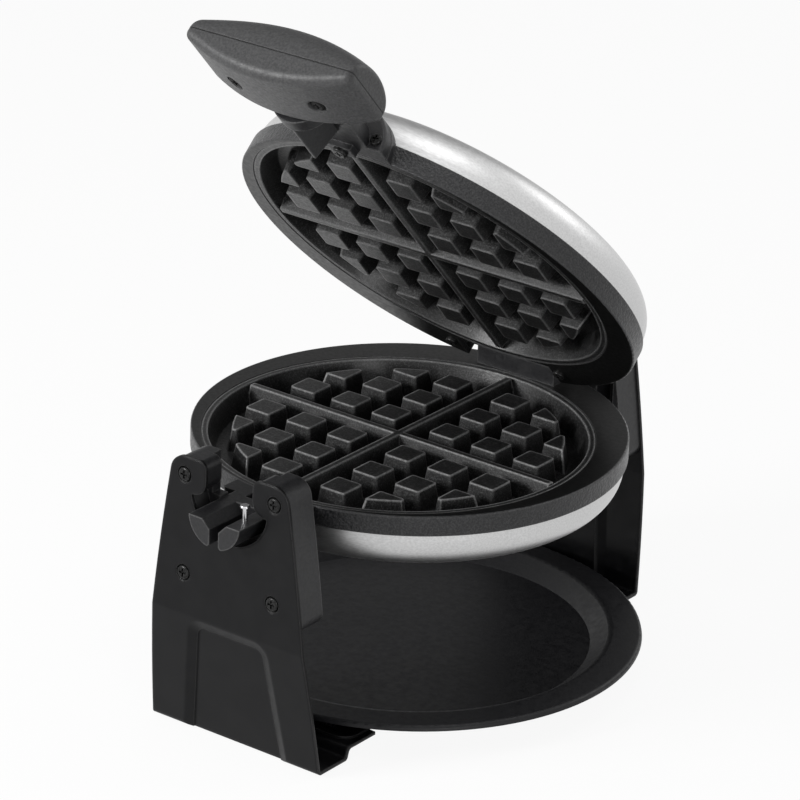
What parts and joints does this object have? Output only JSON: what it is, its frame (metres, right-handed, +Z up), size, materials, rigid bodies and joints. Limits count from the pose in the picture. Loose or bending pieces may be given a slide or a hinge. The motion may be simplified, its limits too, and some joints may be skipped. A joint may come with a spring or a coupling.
{
  "type": "rotating waffle maker",
  "caption": "Round flip waffle maker: a hinged pair of pocketed plates in steel shells turns on a split shaft between two bent sheet stands over a shallow drip tray.",
  "frame": {"origin": "centre of the overall box on the table plane, under the middle of the base strap", "axes": "+Z up, -Y the front with the handle, +X across the stand, Y along the turning shaft; stored with the lid open"},
  "size_m": [0.2223, 0.292, 0.3355],
  "materials": {
    "stand_black": "satin powder coat",
    "moulded_black": "fine grain",
    "rim_black": "fine grain",
    "handle_black": "satin, fine grain",
    "screw_black": "black oxide",
    "bright_steel": "plain steel",
    "shell_steel": "brushed",
    "cast_plate": "black non-stick coating",
    "element_steel": "dull sheath",
    "shield_metal": "plain sheet",
    "ceramic": "ceramic",
    "sensor_metal": "plain",
    "foot_rubber": "matte",
    "sleeve": "woven glass",
    "nylon": "natural",
    "tray_black": "matt coating",
    "red_lens": "clear red",
    "green_lens": "clear green"
  },
  "bodies": {
    "base": {"front_stand_plate": "stand_black", "rear_stand_plate": "stand_black", "front_bearing_bracket": "moulded_black", "rear_bearing_housing": "moulded_black", "front_bracket_screws": "screw_black", "rear_bracket_screws": "screw_black", "base_strap": "stand_black", "base_strap_rivets": "bright_steel", "rubber_feet": "foot_rubber", "rear_shaft_cover": "moulded_black", "rear_cover_screws": "screw_black", "cord_gland": "moulded_black"},
    "tray": {"drip_tray": "tray_black"},
    "stop_ring": {"rotation_stop_ring": "nylon"},
    "iron": {"lower_rim_ring": "rim_black", "lower_shell": "shell_steel", "lower_waffle_plate": "cast_plate", "lower_heating_element": "element_steel", "lower_heat_shield": "shield_metal", "lower_shield_screws": "bright_steel", "lower_terminal_block": "ceramic", "lower_thermal_cutout": "sensor_metal", "front_shaft_prongs": "moulded_black", "locating_pin": "bright_steel", "rear_shaft": "moulded_black", "lid_hinge_knuckle": "moulded_black", "lid_hinge_pin": "bright_steel", "shaft_retaining_clip": "bright_steel", "rear_wire_sleeve": "sleeve", "hinge_knuckle_screws": "bright_steel", "front_shaft_screws": "screw_black", "rear_shaft_screws": "screw_black"},
    "lid": {"upper_rim_ring": "rim_black", "upper_shell": "shell_steel", "upper_waffle_plate": "cast_plate", "upper_heating_element": "element_steel", "upper_heat_shield": "shield_metal", "upper_shield_screws": "bright_steel", "upper_terminal_block": "ceramic", "upper_temperature_sensor": "sensor_metal", "lid_hinge_housing": "moulded_black", "front_shaft_hub": "moulded_black", "hinge_housing_screws": "screw_black", "hub_clamp_screw": "screw_black", "hub_screws": "screw_black", "handle_top_shell": "handle_black", "handle_bottom_shell": "handle_black", "handle_screws": "screw_black", "control_panel": "handle_black", "power_light": "red_lens", "ready_light": "green_lens", "browning_thermostat": "sensor_metal"},
    "knob": {"browning_knob": "handle_black"}
  },
  "joints": [
    {"name": "tray_slide", "type": "slide", "parent": "base", "child": "tray", "axis": [1, 0, 0], "range_m": [0, 0.21]},
    {"name": "ring_turn", "type": "hinge", "parent": "base", "child": "stop_ring", "pos_m": [0, 0.1242, 0.1195], "axis": [0, 1, 0], "range_deg": [0, 90]},
    {"name": "iron_turn", "type": "hinge", "parent": "stop_ring", "child": "iron", "pos_m": [0, 0.1242, 0.1195], "axis": [0, 1, 0], "range_deg": [0, 90]},
    {"name": "lid_hinge", "type": "hinge", "parent": "iron", "child": "lid", "pos_m": [0, 0.0906, 0.13935], "axis": [1, 0, 0], "range_deg": [0, 47.25]},
    {"name": "knob_turn", "type": "hinge", "parent": "lid", "child": "knob", "pos_m": [0, 0.04697, 0.23465], "axis": [0, 0.7343, 0.6788], "range_deg": [0, 270]}
  ]
}
